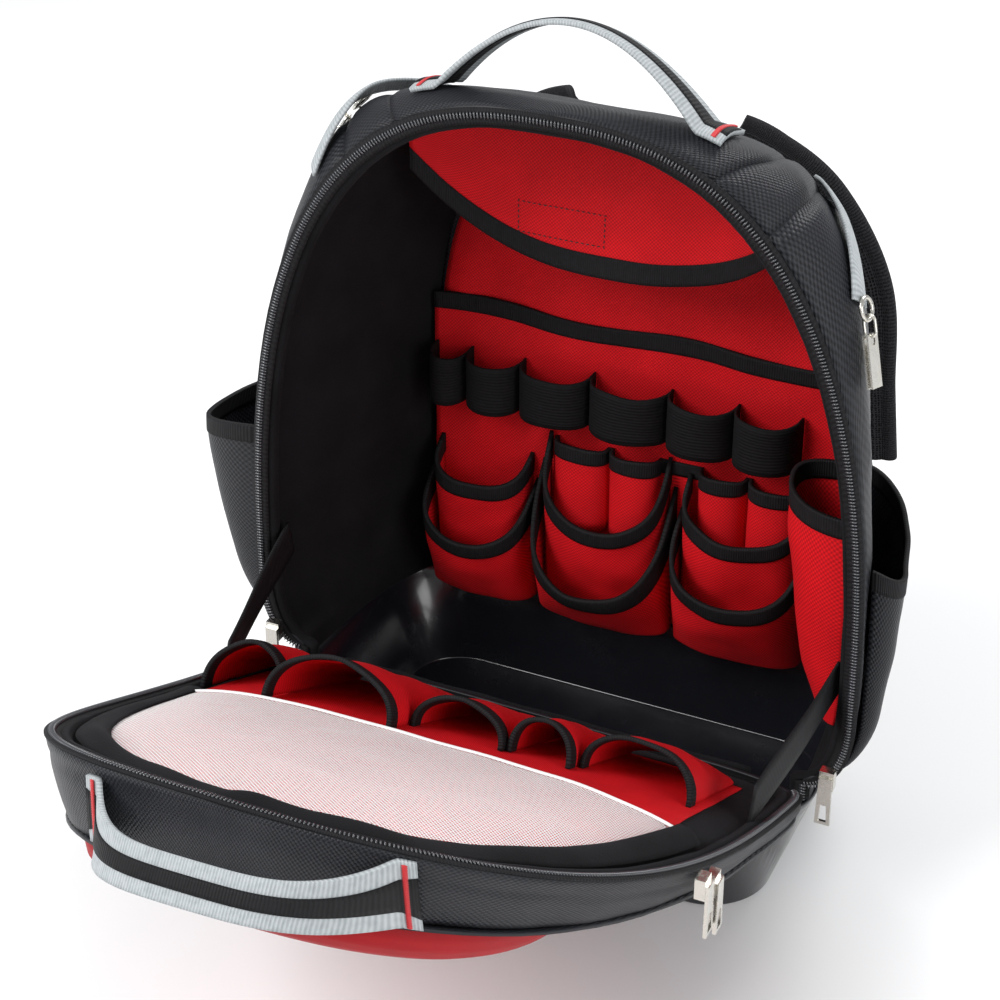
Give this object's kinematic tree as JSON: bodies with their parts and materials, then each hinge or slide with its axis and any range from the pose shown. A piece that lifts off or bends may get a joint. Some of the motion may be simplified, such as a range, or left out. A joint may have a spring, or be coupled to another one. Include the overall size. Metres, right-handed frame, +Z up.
{
  "type": "tool backpack",
  "caption": "Upright backpack with a moulded base and an arched front panel that folds down on a cloth hinge to show sewn pockets and loops.",
  "frame": {"origin": "centre of the moulded base's flat underside", "axes": "+Z up, +Y towards the wearer's back, +X to the right seen from the open front"},
  "size_m": [0.4688, 0.6147, 0.5381],
  "materials": {
    "moulded_tray": "glossy moulded black",
    "ballistic_cloth": "woven ballistic polyester, black",
    "lining_cloth": "black brushed lining",
    "red_cloth": "woven polyester, red",
    "padded_wall": "red cloth over foam",
    "moulded_red": "red cloth over a moulded shell",
    "net": "white open net with black binding",
    "grey_webbing": "grey webbing with a black centre strip",
    "black_webbing": "black webbing",
    "elastic": "black woven elastic",
    "air_mesh": "black spacer mesh over foam",
    "zip_tape": "black zip tape and coil",
    "nickel": "nickel plated",
    "strap_buckle": "black acetal"
  },
  "bodies": {
    "root": {"base_tray": "moulded_tray", "gusset_side_right": "ballistic_cloth", "gusset_corner_right": "ballistic_cloth", "gusset_top": "ballistic_cloth", "gusset_corner_left": "ballistic_cloth", "gusset_side_left": "ballistic_cloth", "back_wall": "ballistic_cloth", "panel_gusset": "ballistic_cloth", "panel_face": "ballistic_cloth", "side_pocket_right": "ballistic_cloth", "side_pocket_left": "ballistic_cloth", "panel_lining": "lining_cloth", "hinge_cloth": "lining_cloth", "back_lining": "padded_wall", "panel_pouch": "moulded_red", "tunnel_pocket_1": "red_cloth", "tunnel_pocket_2": "red_cloth", "tunnel_pocket_3": "red_cloth", "tunnel_pocket_4": "red_cloth", "tunnel_pocket_5": "red_cloth", "pocket_sheet": "red_cloth", "shaft_pockets": "red_cloth", "upper_pocket_left": "red_cloth", "upper_pocket_middle": "red_cloth", "upper_pocket_right": "red_cloth", "lower_pocket_left": "red_cloth", "lower_pocket_middle": "red_cloth", "lower_pocket_right": "red_cloth", "top_flap": "red_cloth", "wall_pocket": "red_cloth", "mesh_pocket": "net", "top_handle": "grey_webbing", "panel_handle": "grey_webbing", "side_webbing_right": "grey_webbing", "side_webbing_left": "grey_webbing", "strap_webbing_right": "black_webbing", "strap_webbing_left": "black_webbing", "limit_strap_right": "black_webbing", "limit_strap_left": "black_webbing", "chain_strap": "black_webbing", "elastic_loops": "elastic", "back_pad": "air_mesh", "shoulder_strap_right": "air_mesh", "shoulder_strap_left": "air_mesh", "zip_body": "zip_tape", "zip_panel": "zip_tape", "clip_ring": "nickel", "clip_link": "nickel", "clip_plate": "nickel", "chain_ring": "nickel", "chain_link_1": "nickel", "chain_link_2": "nickel", "chain_link_3": "nickel", "chain_link_4": "nickel", "zip_pull_right": "nickel", "zip_pull_left": "nickel", "panel_pull_1": "nickel", "panel_pull_2": "nickel", "strap_buckle_right": "strap_buckle", "strap_buckle_left": "strap_buckle"}
  },
  "joints": []
}
